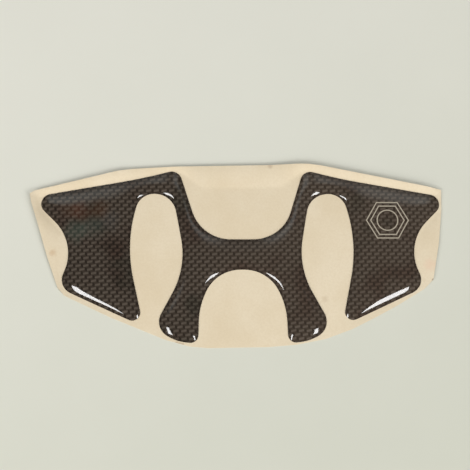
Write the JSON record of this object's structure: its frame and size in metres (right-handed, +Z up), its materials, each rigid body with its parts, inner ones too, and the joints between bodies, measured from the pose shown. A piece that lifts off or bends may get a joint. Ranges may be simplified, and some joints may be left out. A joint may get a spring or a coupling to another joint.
{
  "type": "triple clamp protector",
  "caption": "Flat domed stick-on pad with two wings, two legs and an arch, clear resin over a carbon-weave print, lying on a paper backing sheet.",
  "frame": {"origin": "under the middle of the backing sheet, on the surface that it lies on", "axes": "+X along the wings to the right, +Y from the legs to the horns, +Z up out of the resin"},
  "size_m": [0.2148, 0.0972, 0.0021],
  "materials": {
    "paper": "matt, smooth on the coated side",
    "film": "printed carbon plain weave",
    "resin": "clear, high gloss"
  },
  "bodies": {
    "root": {"release_liner": "paper", "carbon_film": "film", "resin_dome": "resin"}
  },
  "joints": []
}
